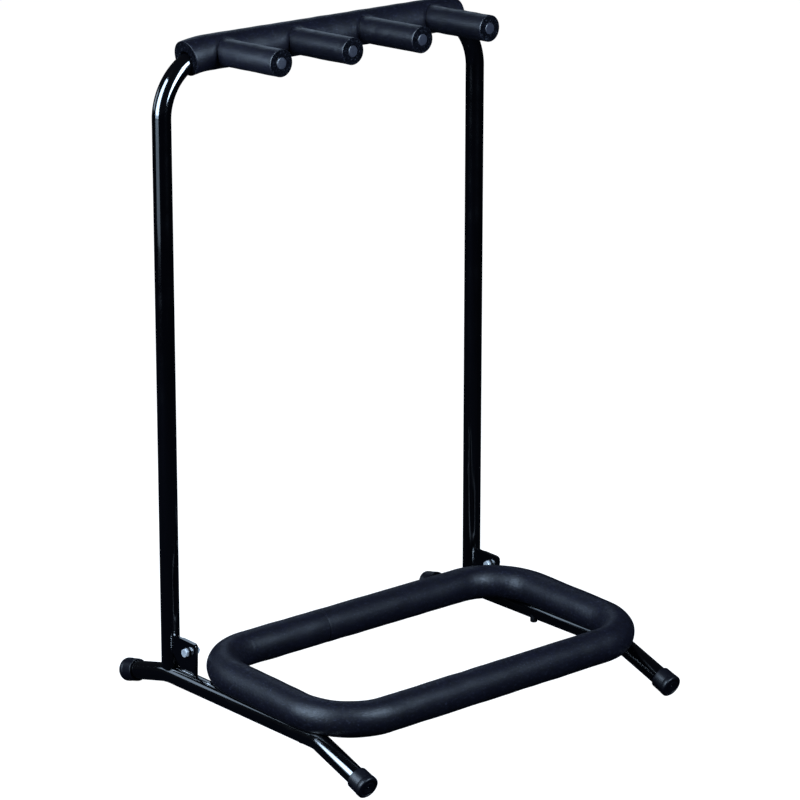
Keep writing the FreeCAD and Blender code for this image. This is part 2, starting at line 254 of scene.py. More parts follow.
def foam_skin(name, shine, rough):
    """Smooth outer skin of closed-cell foam: fine pores, mottling and a few rubbed marks."""
    tree = Tree(name)
    mottle = tree.noise(7 * MM, 6, rough=0.65)
    clouds = tree.noise(45 * MM, 3)
    pores = tree.cells(0.7 * MM)
    rubs = tree.spread(tree.noise(16 * MM, 5, tree.stretched((0.35, 1, 1)), 0.7), 0.6, 0.78)
    mottled = tree.spread(mottle, 0.35, 0.68)
    shade = tree.blend(mottled, (0.0012, 0.0011, 0.0034), (0.0045, 0.0045, 0.0105))
    shade = tree.blend(tree.spread(clouds, 0.4, 0.7, 0, 0.45), shade, (0.0015, 0.0015, 0.0038))
    shade = tree.blend(tree.sums("MULTIPLY", rubs, 0.5), shade, (0.01, 0.0115, 0.019))
    specks = tree.spread(tree.noise(1.9 * MM, 3, rough=0.7), 0.57, 0.7)
    shade = tree.blend(tree.sums("MULTIPLY", specks, 0.6), shade, (0.034, 0.037, 0.06))
    coarse = tree.bump(tree.noise(3.2 * MM, 5), 0.34 * MM, 0.7)
    fine = tree.bump(pores, 0.12 * MM, 0.6, coarse)
    uneven = tree.spread(mottle, 0.3, 0.75, rough + 0.07, rough - 0.07)
    return tree.finish(
        Base_Color=shade,
        Roughness=tree.sums("ADD", uneven, tree.sums("MULTIPLY", rubs, -0.05)),
        Normal=fine,
        Specular_IOR_Level=shine,
    )


def foam_cut():
    """Sawn end of the foam, with its cells open and the shade inside them painted into the colour."""
    tree = Tree("foam_cut")
    cells = tree.cells(1.15 * MM)
    small = tree.cells(0.5 * MM)
    # Painted shade: the colour darkens towards the middle of each cell, where the bump sinks the pit,
    # standing in for the shade inside the open cells.
    pore_shade = tree.spread(cells, 0.3, 0.62)
    shade = tree.blend(pore_shade, (0.0005, 0.0006, 0.001), (0.0028, 0.003, 0.005))
    sparks = tree.spread(tree.noise(1.7 * MM, 3, rough=0.6), 0.58, 0.68)
    shade = tree.blend(tree.sums("MULTIPLY", sparks, 0.8), shade, (0.03, 0.033, 0.044))
    depth = tree.bump(cells, 0.6 * MM, 0.9)
    return tree.finish(
        Base_Color=shade,
        Roughness=0.85,
        Normal=tree.bump(small, 0.25 * MM, 0.7, depth),
        Specular_IOR_Level=0.015,
    )


def cap_rubber():
    """Satin moulded rubber, a little scuffed and dusty."""
    tree = Tree("cap_rubber")
    scuffs = tree.spread(tree.noise(3.5 * MM, 6, rough=0.7), 0.55, 0.75)
    grain = tree.noise(0.45 * MM, 3)
    scuffed = tree.sums("MULTIPLY", scuffs, 0.35)
    shade = tree.blend(scuffed, (0.0013, 0.0013, 0.0036), (0.008, 0.0085, 0.016))
    soft = tree.bump(tree.noise(5 * MM, 2), 0.1 * MM, 0.4)
    return tree.finish(
        Base_Color=shade,
        Roughness=tree.spread(scuffs, 0, 1, 0.4, 0.55),
        Normal=tree.bump(grain, 0.035 * MM, 0.6, soft),
        Specular_IOR_Level=0.4,
    )


def plug_plastic():
    """Satin moulded plastic of the prong plugs, paler than the foam."""
    tree = Tree("plug_plastic")
    grain = tree.noise(0.35 * MM, 3)
    marks = tree.spread(tree.noise(2.2 * MM, 5, rough=0.7), 0.5, 0.75)
    shade = tree.blend(marks, (0.017, 0.018, 0.026), (0.03, 0.032, 0.042))
    return tree.finish(
        Base_Color=shade,
        Roughness=tree.spread(marks, 0, 1, 0.28, 0.4),
        Normal=tree.bump(grain, 0.03 * MM, 0.5),
        Specular_IOR_Level=0.7,
    )


def zinc_plate():
    """Bright zinc plate with turning marks and a little tarnish."""
    tree = Tree("bright_zinc")
    tarnish = tree.spread(tree.noise(2.5 * MM, 5, rough=0.65), 0.4, 0.75)
    turned = tree.noise(0.4 * MM, 2, tree.stretched((6, 1, 1)))
    shade = tree.blend(tarnish, (0.82, 0.85, 0.88), (0.5, 0.52, 0.55))
    return tree.finish(
        Base_Color=shade,
        Metallic=0.6,
        Roughness=tree.spread(tarnish, 0, 1, 0.3, 0.45),
        Normal=tree.bump(turned, 0.02 * MM, 0.5),
    )


def black_zinc():
    """Black zinc plate of the cradle screws, brighter where the driver has turned."""
    tree = Tree("black_zinc")
    wear = tree.spread(tree.noise(1.2 * MM, 5, rough=0.7), 0.5, 0.72)
    shade = tree.blend(wear, (0.012, 0.012, 0.015), (0.09, 0.09, 0.1))
    return tree.finish(
        Base_Color=shade,
        Metallic=0.8,
        Roughness=tree.spread(wear, 0, 1, 0.42, 0.3),
        Normal=tree.bump(tree.noise(0.4 * MM, 3), 0.02 * MM, 0.5),
    )


# ---------------------------------------------------------------- meshes

def unit(vectors):
    """Vectors scaled to length 1."""
    return vectors / np.linalg.norm(vectors, axis=-1, keepdims=True)


def smooth_step(value):
    """Eases from 0 to 1, held at both ends."""
    held = np.clip(value, 0, 1)
    return held * held * (3 - 2 * held)


class Route:
    """Flat centre line of straight runs joined by arcs, sampled closely."""

    STEP = 0.5 * MM

    def __init__(self, corners, radii, flat):
        """flat is the direction square to the plane that the line lies in."""
        places = [np.array(corners[0], float)]
        for before, corner, after, radius in zip(corners, corners[1:], corners[2:], radii):
            back = unit(np.array(before) - corner)
            ahead = unit(np.array(after) - corner)
            turn = math.pi - math.acos(float(back @ ahead))
            reach = radius * math.tan(turn / 2)
            hub = corner + unit(back + ahead) * radius / math.cos(turn / 2)
            first = corner + back * reach - hub
            for part in np.linspace(0, 1, max(8, int(turn * radius / self.STEP))):
                spoke = first * math.cos(turn * part) - back * radius * math.sin(turn * part)
                places.append(hub + spoke)
        places.append(np.array(corners[-1], float))
        self.places = np.array(places)
        steps = np.linalg.norm(np.diff(self.places, axis=0), axis=1)
        kept = np.concatenate(([True], steps > 1e-9))
        self.places = self.places[kept]
        steps = np.linalg.norm(np.diff(self.places, axis=0), axis=1)
        self.along = np.concatenate(([0], np.cumsum(steps)))
        self.ways = unit(np.gradient(self.places, self.along, axis=0))
        self.flat = np.array(flat, float)
        self.length = self.along[-1]

    def at(self, distance):
        """Places and directions at distances along the line, running straight on past its ends."""
        held = np.clip(distance, 0, self.length)
        place = np.stack([np.interp(held, self.along, self.places[:, axis]) for axis in range(3)], -1)
        way = unit(np.stack([np.interp(held, self.along, self.ways[:, axis]) for axis in range(3)], -1))
        return place + way * (distance - held)[..., None], way

    def point(self, distance, radius, angle):
        """Points at a radius round the line; the angle turns from flat."""
        place, way = self.at(distance)
        across = np.cross(way, self.flat)
        round_it = np.cos(angle)[..., None] * self.flat + np.sin(angle)[..., None] * across
        return place + radius[..., None] * round_it


def waves(seed, shortest, longest, count=9):
    """Smooth uneven height, about -1..1, over distance and angle round a sleeve."""
    rng = np.random.default_rng(seed)
    lengths = rng.uniform(shortest, longest, count)
    turns = rng.integers(0, 5, count)
    starts = rng.uniform(0, WHOLE_TURN, (2, count))

    def height(distance, angle):
        total = np.zeros(np.broadcast(distance, angle).shape)
        for length, turn, start, shift in zip(lengths, turns, *starts):
            total += np.sin(WHOLE_TURN * distance / length + start) * np.cos(turn * angle + shift)
        return total / math.sqrt(count)

    return height


def pits(seed, inner, outer, per_area):
    """Depth of open cells scattered over a ring-shaped cut face."""
    rng = np.random.default_rng(seed)
    count = int(per_area * math.pi * (outer ** 2 - inner ** 2))
    far = np.sqrt(rng.uniform(inner ** 2, outer ** 2, count))
    angles = rng.uniform(0, WHOLE_TURN, count)
    sizes = rng.uniform(0.3 * MM, 0.85 * MM, count)
    centres = np.stack((far * np.cos(angles), far * np.sin(angles)), -1)

    def depth(radius, angle):
        spots = np.stack((radius * np.cos(angle), radius * np.sin(angle)), -1)
        total = np.zeros(radius.shape)
        for centre, size in zip(centres, sizes):
            away = np.sum((spots - centre) ** 2, -1)
            total = np.maximum(total, size * 0.75 * np.exp(-away / (0.5 * size ** 2)))
        return total

    return depth


def finish_piece(name, mesh, body, nodes=()):
    """Object of a closed mesh, turned face out, that rides on a body and may stand for CAD nodes."""
    shaped = bmesh.new()
    shaped.from_mesh(mesh)
    bmesh.ops.recalc_face_normals(shaped, faces=shaped.faces)
    shaped.to_mesh(mesh)
    shaped.free()
    mesh.polygons.foreach_set("use_smooth", np.ones(len(mesh.polygons), bool))
    piece = bpy.data.objects.new(name, mesh)
    bpy.context.scene.collection.objects.link(piece)
    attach(piece, body)
    if nodes:
        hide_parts(*nodes)
    return piece


def ring_mesh(name, points, materials, row_materials):
    """Mesh from a grid of points that wraps both ways, with a material for each row of faces."""
    rows, columns = points.shape[:2]
    numbers = np.arange(rows * columns).reshape(rows, columns)
    below = np.roll(numbers, -1, 0)
    faces = np.stack((numbers, below, np.roll(below, -1, 1), np.roll(numbers, -1, 1)), -1)
    mesh = bpy.data.meshes.new(name)
    mesh.from_pydata(points.reshape(-1, 3).tolist(), [], faces.reshape(-1, 4).tolist())
    for material in materials:
        mesh.materials.append(material)
    mesh.polygons.foreach_set("material_index", np.repeat(row_materials, columns).astype(np.int32))
    return mesh


def lathe_mesh(name, profile, place, axis, material, columns=144, reshape=None):
    """Closed turned mesh; the profile's (distance, radius) points start and end on the axis."""
    axis = unit(np.array(axis, float))
    across = np.cross(axis, X_AXIS)
    angles = np.linspace(0, WHOLE_TURN, columns, endpoint=False)
    spokes = np.cos(angles)[:, None] * X_AXIS + np.sin(angles)[:, None] * across
    profile = np.array(profile)
    points = profile[1:-1, None, :1] * axis + profile[1:-1, None, 1:] * spokes + place
    ends = profile[[0, -1], :1] * axis + place
    if reshape:
        points = reshape(points, angles)
    numbers = np.arange(points.shape[0] * columns).reshape(-1, columns)
    after = np.roll(numbers, -1, 1)
    quads = np.stack((numbers[:-1], numbers[1:], after[1:], after[:-1]), -1).reshape(-1, 4).tolist()
    first, last = numbers.size, numbers.size + 1
    fans = [(first, here, there) for here, there in zip(numbers[0].tolist(), after[0].tolist())]
    fans += [(last, there, here) for here, there in zip(numbers[-1].tolist(), after[-1].tolist())]
    mesh = bpy.data.meshes.new(name)
    mesh.from_pydata(points.reshape(-1, 3).tolist() + ends.tolist(), [], quads + fans)
    mesh.materials.append(material)
    return mesh


def arc_points(centre, radius, first, last, count=6):
    """Profile points on an arc, with angles in degrees from the distance axis."""
    angles = np.radians(np.linspace(first, last, count))
    return [(centre[0] + radius * math.cos(angle), centre[1] + radius * math.sin(angle))
            for angle in angles]


# ---------------------------------------------------------------- where the tubes run

def cap_centre_height(slope):
    """Height of a cap's end centre, so that its rounded lower edge just sinks to the floor."""
    return (CAP_R - CAP_EDGE_R) * math.cos(slope) + CAP_EDGE_R * (1 - math.sin(slope)) - CAP_SINK


def foot_tip(outermost_y, slope, way):
    """Place of a cap's end centre from the cap's outermost y; way is -1 at the front and 1 behind."""
    inset = CAP_EDGE_R * (1 - math.cos(slope)) + (CAP_R - CAP_EDGE_R) * math.sin(slope)
    return np.array((0, outermost_y - way * inset, cap_centre_height(slope)))


def foot_route():
    """Centre line of a foot tube in the middle plane, from the front cap to the rear one."""
    front_bend = FRONT_TIP + FRONT_INWARD * (FRONT_BEND_Y - FRONT_TIP[1]) / FRONT_INWARD[1]
    rear_bend = REAR_TIP + REAR_INWARD * (REAR_BEND_Y - REAR_TIP[1]) / REAR_INWARD[1]
    front_end = FRONT_TIP + FRONT_INWARD * CAP_END_WALL
    rear_end = REAR_TIP + REAR_INWARD * CAP_END_WALL
    return Route([front_end, front_bend, rear_bend, rear_end], [FRONT_BEND_R, REAR_BEND_R], X_AXIS)


def foot_height(y):
    """Height of a foot tube's centre line."""
    return np.interp(y, FOOT_ROUTE.places[:, 1], FOOT_ROUTE.places[:, 2])


def upright_route():
    """Centre line of the bent upright, from the left foot's centre line over to the right one's."""
    bar = np.array((0, BAR_Y, BAR_Z))
    low_z = REAR_TIP[2] + (REAR_TIP[1] - REAR_BEND_Y) * math.tan(REAR_SLOPE)
    leg = UP_THE_FRAME * (BAR_Z - low_z) / math.cos(LEAN)
    side = X_AXIS * FOOT_X
    corners = [bar - side - leg, bar - side, bar + side, bar + side - leg]
    return Route(corners, [BAR_BEND_R, BAR_BEND_R], OFF_THE_FRAME)


FRONT_TIP = foot_tip(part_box("foot_cap_front_right")[0].y, FRONT_SLOPE, -1)
REAR_TIP = foot_tip(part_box("foot_cap_rear_right")[1].y, REAR_SLOPE, 1)
FRONT_INWARD = np.array((0, math.cos(FRONT_SLOPE), math.sin(FRONT_SLOPE)))
REAR_INWARD = np.array((0, -math.cos(REAR_SLOPE), math.sin(REAR_SLOPE)))
FOOT_ROUTE = foot_route()
UPRIGHT_ROUTE = upright_route()


# ---------------------------------------------------------------- painted tubes

def painted_tube(name, route, place, ends, wall_r, material, body):
    """Smooth hollow tube with softened ends; ends are functions of radius and angle."""
    first, last = ends
    edge = 0.3 * MM
    parts = np.unique(np.append(route.along[::3], route.length)) / route.length
    rows = [(0, 0, TUBE_R - edge), (0, edge, TUBE_R)]
    rows += [(part, 4 * edge * (1 - 2 * part), TUBE_R) for part in parts]
    rows += [(1, -edge, TUBE_R), (1, 0, TUBE_R - edge), (1, 0, wall_r)]
    rows += [(part, 0, wall_r) for part in parts[-2:0:-2]]
    rows += [(0, 0, wall_r)]
    part, extra, radius = (np.array(column, float)[:, None] for column in zip(*rows))
    angle = np.linspace(0, WHOLE_TURN, TUBE_COLUMNS, endpoint=False)[None, :]
    radius, angle = np.broadcast_arrays(radius, angle)
    distance = part * last(radius, angle) + (1 - part) * first(radius, angle) + extra
    points = route.point(distance, radius, angle) + place
    mesh = ring_mesh(name, points, [material], np.zeros(len(rows)))
    finish_piece(name, mesh, body, [name.replace("_tube", "")])


def make_feet(material):
    """Both foot tubes, cut square inside their caps."""
    ends = (lambda radius, angle: 0), (lambda radius, angle: FOOT_ROUTE.length)
    for side, x in (("left", -FOOT_X), ("right", FOOT_X)):
        name = "foot_%s_tube" % side
        painted_tube(name, FOOT_ROUTE, X_AXIS * x, ends, TUBE_R - TUBE_WALL, material, "base")


def make_upright(material):
    """The bent upright, its lower ends shaped to straddle the feet."""
    route = UPRIGHT_ROUTE
    low_z = route.places[0][2]

    def straddle(radius, angle):
        """How far up its leg the tube starts, just clear of the foot under it."""
        aside = radius * np.sin(angle)
        y = route.places[0][1] - radius * np.cos(angle)
        clear = TUBE_R + SADDLE_GAP
        over = foot_height(y) + np.sqrt(np.maximum(clear ** 2 - aside ** 2, 0))
        height = np.maximum(over, UPRIGHT_CUT_Z)
        return (height - low_z - radius * np.cos(angle) * math.sin(LEAN)) / math.cos(LEAN)

    ends = straddle, (lambda radius, angle: route.length - straddle(radius, angle))
    painted_tube("upright_frame_tube", route, 0, ends, TUBE_R - TUBE_WALL, material, "upright")


# ---------------------------------------------------------------- foam sleeves

FOAM_EDGE_R = 0.6 * MM
SEAM_EDGE_R = 0.2 * MM
FOAM_MOUTH_R = 0.8 * MM
CUT_STEP = 0.42 * MM
BORE_STEP = 12 * MM
PITS_PER_AREA = 0.55 / MM ** 2
# Row spacing and number of columns of a sleeve's skin
FINE_STEPS = (1.1 * MM, 168)
CRADLE_STEPS = (2 * MM, 128)
SKIN, CUT = 0, 1


def sleeve_rows(outer, bore, length, step, edge_r):
    """Rows round a sleeve's section: part of the way along, extra distance, radius, material and end.

    The end is -1 for rows on the first cut face, 1 for rows on the last one and 0 elsewhere.
    """
    rows = []
    quarter = np.linspace(0, math.pi / 2, 5)
    for angle in quarter[:-1]:
        rise = edge_r * math.sin(angle)
        rows.append((0, edge_r * (1 - math.cos(angle)), outer - edge_r + rise, SKIN, 0))
    for part in np.linspace(0, 1, int(length / step)):
        rows.append((part, edge_r * (1 - 2 * part), outer, SKIN, 0))
    for angle in quarter[1:]:
        drop = edge_r * (1 - math.cos(angle))
        rows.append((1, edge_r * (math.sin(angle) - 1), outer - drop, SKIN if angle < 1 else CUT, 0))
    face = np.linspace(outer - edge_r, bore + FOAM_MOUTH_R, int((outer - bore) / CUT_STEP))
    for radius in face[1:]:
        rows.append((1, 0, radius, CUT, 1))
    for angle in quarter[1:]:
        mouth = FOAM_MOUTH_R * (1 - math.sin(angle))
        rows.append((1, -FOAM_MOUTH_R * (1 - math.cos(angle)), bore + mouth, CUT, 0))
    for part in np.linspace(1, 0, max(4, int(length / BORE_STEP))):
        rows.append((part, FOAM_MOUTH_R * (1 - 2 * part), bore, CUT, 0))
    for angle in quarter[-2::-1]:
        mouth = FOAM_MOUTH_R * (1 - math.sin(angle))
        rows.append((0, FOAM_MOUTH_R * (1 - math.cos(angle)), bore + mouth, CUT, 0))
    for radius in face[-2:0:-1]:
        rows.append((0, 0, radius, CUT, -1))
    return rows


def foam_sleeve(name, route, start, end, outer, bore, steps, relief, materials, body, fitted=None,
                edge_r=FOAM_EDGE_R):
    """Foam sleeve along a route, from start to end, which may be functions of radius and angle.

    steps is the skin's row spacing and the number of columns; relief gives the skin's height over
    distance and angle; fitted moves the finished points, given with their radius, to suit what the
    sleeve rests on; edge_r rounds the outer edges of both ends.
    """
    step, columns = steps
    first = start if callable(start) else (lambda radius, angle: start)
    last = end if callable(end) else (lambda radius, angle: end)
    middle = np.array(outer), np.array(0.0)
    rows = sleeve_rows(outer, bore, float(last(*middle) - first(*middle)), step, edge_r)
    part, extra, radius, material, side = (np.array(column, float)[:, None] for column in zip(*rows))
    angle = np.linspace(0, WHOLE_TURN, columns, endpoint=False)[None, :]
    radius, angle = np.broadcast_arrays(radius, angle)
    distance = part * last(radius, angle) + (1 - part) * first(radius, angle) + extra
    seed = sum(name.encode())
    for face_side in (-1, 1):
        cells = pits(seed + face_side, bore + FOAM_MOUTH_R, outer - edge_r, PITS_PER_AREA)
        distance = np.where(side == face_side, distance - face_side * cells(radius, angle), distance)
    depth_share = (radius - bore) / (outer - bore)
    radius = radius + relief(distance, angle) * depth_share
    points = route.point(distance, radius, angle)
    if fitted:
        points = fitted(points, radius)
    mesh = ring_mesh(name, points, materials, material[:, 0])
    piece = finish_piece(name, mesh, body, [name.replace("_sleeve", "_foam")])


def prong_root(index):
    x = (index - (PRONG_COUNT - 1) / 2) * PRONG_PITCH
    return np.array((x, BAR_Y, BAR_Z))


def make_prong_foams(materials):
    """Straight sleeves pressed against the bar foam, with porous sawn tips."""
    pinch = 0.55 * MM
    for index in range(PRONG_COUNT):
        root = prong_root(index)
        route = Route([root, root + PRONG_WAY * 2 * PRONG_REACH], [], X_AXIS)
        uneven = waves(40 + index, 18 * MM, 60 * MM)
        tip_waves = waves(60 + index, 50 * MM, 90 * MM)

        def coped(radius, angle):
            """Root of the sleeve, hollowed to fit round the bar foam and pinched at its rim."""
            lip = smooth_step((radius - 0.8 * PRONG_R) / (0.2 * PRONG_R))
            beside = FOAM_R + 0.1 * MM - pinch * lip
            return np.sqrt(beside ** 2 - (radius * np.sin(angle)) ** 2)

        def sawn(radius, angle):
            """Tip of the sleeve, cut a little out of square."""
            tilt = 0.2 * MM * np.cos(angle - index) * radius / PRONG_R
            return PRONG_REACH - 0.2 * MM + tilt + 0.05 * MM * tip_waves(radius, angle)

        def relief(distance, angle):
            squeezed = np.exp(-((distance - FOAM_R) / (4 * MM)) ** 2)
            return 0.13 * MM * uneven(distance, angle) - 0.25 * MM * squeezed

        name = "prong_sleeve_%d" % (index + 1)
        foam_sleeve(name, route, coped, sawn, PRONG_R, PRONG_BORE_R, FINE_STEPS, relief, materials,
                    "upright")


def make_bar_foam(materials):
    """Sleeve on the top bar and round the start of both bends, pinched where the prongs press in."""
    bar = np.array((0, BAR_Y, BAR_Z))
    wrap = BAR_FOAM_PAST_BEND / BAR_FOAM_BEND_R
    reach = BAR_FOAM_BEND_R * math.tan(wrap / 2)
    corner = X_AXIS * (FOOT_X - BAR_BEND_R + reach)
    past = X_AXIS * reach * math.cos(wrap)
    drop = UP_THE_FRAME * reach * math.sin(wrap)
    corners = [bar - corner - past - drop, bar - corner, bar + corner, bar + corner + past - drop]
    route = Route(corners, [BAR_FOAM_BEND_R, BAR_FOAM_BEND_R], OFF_THE_FRAME)
    uneven = waves(5, 22 * MM, 90 * MM)
    end_waves = waves(6, 50 * MM, 90 * MM)

    def relief(distance, angle):
        points = route.point(distance, np.full(distance.shape, FOAM_R), angle)
        height = 0.16 * MM * uneven(distance, angle)
        for index in range(PRONG_COUNT):
            away = points - prong_root(index)
            along = away @ PRONG_WAY
            aside = np.linalg.norm(away - along[..., None] * PRONG_WAY, axis=-1)
            front = smooth_step(along / (6 * MM))
            groove = 0.9 * MM * np.exp(-((aside - PRONG_R) / (1.5 * MM)) ** 2)
            swell = 0.12 * MM * np.exp(-((aside - 1.35 * PRONG_R) / (2.6 * MM)) ** 2)
            height = height + front * (swell - groove)
        return height

    def sawn(at, way):
        return lambda radius, angle: at + way * 0.25 * MM * end_waves(radius, angle)

    def round_the_tube(points, radius):
        """Lets the hole follow the tube as it bends down faster than the foam, and gape above it."""
        past_bend = np.clip(np.abs(points[..., 0]) - (FOOT_X - BAR_BEND_R), 0, BAR_FOAM_PAST_BEND)
        tube_drop = BAR_BEND_R - np.sqrt(BAR_BEND_R ** 2 - past_bend ** 2)
        foam_drop = BAR_FOAM_BEND_R - np.sqrt(BAR_FOAM_BEND_R ** 2 - past_bend ** 2)
        share = past_bend / BAR_FOAM_PAST_BEND
        inner = smooth_step((FOAM_R - radius) / (FOAM_R - TUBE_R - 0.1 * MM))
        above = (points - bar) @ UP_THE_FRAME + foam_drop
        gape = 1.5 * MM * share ** 4 * smooth_step(above / (8 * MM))
        gape = gape + 0.45 * MM * share ** 2 * above / TUBE_R
        return points + ((foam_drop - tube_drop + gape) * inner)[..., None] * UP_THE_FRAME

    foam_sleeve("neck_rest_sleeve", route, sawn(0, 1), sawn(route.length, -1), FOAM_R,
                TUBE_R + 0.15 * MM, FINE_STEPS, relief, materials, "upright", round_the_tube)


def clear_of_feet(points, radius):
    """Lifts the underside of the cradle foam off both foot tubes, leaving a soft-edged trough."""
    reach = TUBE_R + FOOT_CLEARANCE
    aside = np.abs(points[..., 0]) - FOOT_X
    top = foot_height(points[..., 1]) + np.sqrt(np.maximum(reach ** 2 - aside ** 2, 0))
    gap = points[..., 2] - top
    soft = 0.7 * MM * smooth_step((radius - 0.8 * FOAM_R) / (0.2 * FOAM_R))
    lifted = top + 0.5 * (gap + np.sqrt(gap ** 2 + soft ** 2))
    near = (np.abs(aside) < reach) & (gap < 3 * MM)
    moved = points.copy()
    moved[..., 2] = np.where(near, lifted, points[..., 2])
    return moved


def make_cradle_foam(materials):
    """Sleeve round the whole cradle loop, butted together at a seam in the back bar."""
    seam = np.array((SEAM_X, CRADLE_BACK_Y, CRADLE_Z))
    corners = [seam]
    for x, y in ((-CRADLE_X, CRADLE_BACK_Y), (-CRADLE_X, CRADLE_FRONT_Y),
                 (CRADLE_X, CRADLE_FRONT_Y), (CRADLE_X, CRADLE_BACK_Y)):
        corners.append(np.array((x, y, CRADLE_Z)))
    corners.append(seam)
    route = Route(corners, [CRADLE_CORNER_R] * 4, Z_AXIS)
    uneven = waves(11, 26 * MM, 120 * MM, 14)
    creases = waves(12, 6 * MM, 11 * MM, 6)
    seam_waves = waves(13, 50 * MM, 90 * MM)
    turning = np.linalg.norm(np.gradient(route.ways, route.along, axis=0), axis=1) * CRADLE_CORNER_R

    def gapes(angle):
        """Share of the joint's gap, tight on top and open below."""
        return smooth_step((1 - np.cos(angle)) / 1.5)

    def relief(distance, angle):
        bend = np.interp(distance, route.along, turning)
        inside = np.clip(-np.sin(angle), 0, 1) ** 2
        to_seam = np.minimum(distance, route.length - distance)
        lip = np.exp(-(to_seam / (5 * MM)) ** 2)
        creased = 0.14 * MM * creases(distance, angle) * inside * bend
        return 0.2 * MM * uneven(distance, angle) + creased - 0.26 * MM * lip * gapes(angle)

    def butted(radius, angle):
        return SEAM_GAP / 2 * gapes(angle) + 0.3 * MM * seam_waves(radius, angle)

    def met(radius, angle):
        return route.length - SEAM_GAP / 2 * gapes(angle) + 0.3 * MM * seam_waves(radius, angle)

    foam_sleeve("cradle_sleeve", route, butted, met, FOAM_R, TUBE_R + 0.1 * MM, CRADLE_STEPS, relief,
                materials, "base", clear_of_feet, SEAM_EDGE_R)


# ---------------------------------------------------------------- caps, welds

def cap_profile():
    """Moulded cap from the nub in its face, out over the rim, back along the side and into the bore."""
    face = 0.75 * MM
    points = [(0.35 * MM, 0), (0.38 * MM, 0.7 * MM), (0.6 * MM, 1.0 * MM), (1.15 * MM, 1.15 * MM),
              (1.25 * MM, 1.9 * MM), (1.15 * MM, 2.25 * MM)]
    points += arc_points((face + 0.25 * MM, 2.7 * MM), 0.25 * MM, 200, 180, 4)
    points += [(face, 4.6 * MM)]
    points += arc_points((face, 5.2 * MM), 0.28 * MM, 250, 110, 6)
    points += [(face, 5.8 * MM), (face, 7.6 * MM)]
    points += arc_points((face - 0.4 * MM, 8.2 * MM), 0.4 * MM, -10, 80, 4)
    points += arc_points((0.45 * MM, 9.1 * MM), 0.45 * MM, 270, 180, 4)
    points += arc_points((CAP_EDGE_R, CAP_R - CAP_EDGE_R), CAP_EDGE_R, 180, 90, 9)
    band = 5.5 * MM
    points += [(band, CAP_R), (band + 0.3 * MM, CAP_R - 0.22 * MM),
               (band + 0.8 * MM, CAP_R - 0.25 * MM)]
    for part in np.linspace(0.1, 0.9, 6):
        points.append((band + (CAP_LENGTH - band) * part, CAP_R - (0.25 + 0.2 * part) * MM))
    lip = 0.6 * MM
    points += arc_points((CAP_LENGTH - lip, CAP_R - 0.5 * MM - lip), lip, 90, 0, 5)
    mouth = TUBE_R + 0.15 * MM
    points += [(CAP_LENGTH - 0.1 * MM, mouth + 0.5 * MM), (CAP_LENGTH - 0.5 * MM, mouth),
               (10 * MM, mouth), (3.05 * MM, mouth), (2.9 * MM, mouth - 0.4 * MM),
               (2.9 * MM, 4 * MM), (2.9 * MM, 0)]
    return points


def on_floor(points, angles):
    """Adds the two mould lines and flattens what would sink into the floor."""
    marks = np.zeros(len(angles))
    for seam in (0, math.pi):
        away = (angles - seam + math.pi) % WHOLE_TURN - math.pi
        marks += np.exp(-(away / 0.035) ** 2)
    middle = points.mean(axis=1, keepdims=True)
    outward = points - middle
    radius = np.linalg.norm(outward, axis=-1, keepdims=True)
    outer = smooth_step((radius - (CAP_R - 0.9 * MM)) / (0.5 * MM))
    raised = points + outward / radius * outer * marks[None, :, None] * 0.12 * MM
    raised[..., 2] = np.maximum(raised[..., 2], 0)
    return raised


def make_caps(material):
    for end, tip, slope, way in (("front", FRONT_TIP, FRONT_SLOPE, 1),
                                 ("rear", REAR_TIP, REAR_SLOPE, -1)):
        for side, x in (("left", -FOOT_X), ("right", FOOT_X)):
            place = tip + X_AXIS * x
            inward = (0, way * math.cos(slope), math.sin(slope))
            mesh = lathe_mesh("cap_%s_%s" % (end, side), cap_profile(), place, inward, material,
                              reshape=on_floor)
            finish_piece(mesh.name, mesh, "base", ["foot_cap_%s_%s" % (end, side)])


def make_plugs(plastic):
    """Round-edged plugs pressed into the prong tubes, some a little deeper than others."""
    front_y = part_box("prong_plug_1")[0].y
    reach = (BAR_Y - front_y) / math.cos(PRONG_RISE) - PLUG_R * math.tan(PRONG_RISE)
    profile = [(0, 0), (0.02 * MM, 0.4 * PLUG_R), (0.08 * MM, 0.75 * PLUG_R)]
    profile += arc_points((0.1 * MM + PLUG_EDGE_R, PLUG_R - PLUG_EDGE_R), PLUG_EDGE_R, 180, 90, 8)
    profile += [(PLUG_FLANGE, PLUG_R), (PLUG_FLANGE, PLUG_STEM_R), (PLUG_STEM_END, PLUG_STEM_R),
                (PLUG_STEM_END, 0)]
    for index, depth in enumerate(PLUG_DEPTHS):
        name = "plug_%d" % (index + 1)
        place = prong_root(index) + PRONG_WAY * (reach - depth)
        mesh = lathe_mesh(name, profile, place, -PRONG_WAY, plastic, 72)
        finish_piece(name, mesh, "upright", ["prong_" + name])


WELD_RIPPLE = 2.3 * MM
WELD_INSET = 3 * MM
LUG_WELD_DROP = 8 * MM
BRACKET_WELD_WIDTH = 3.6 * MM
LUG_WELD_WIDTH = 2.4 * MM


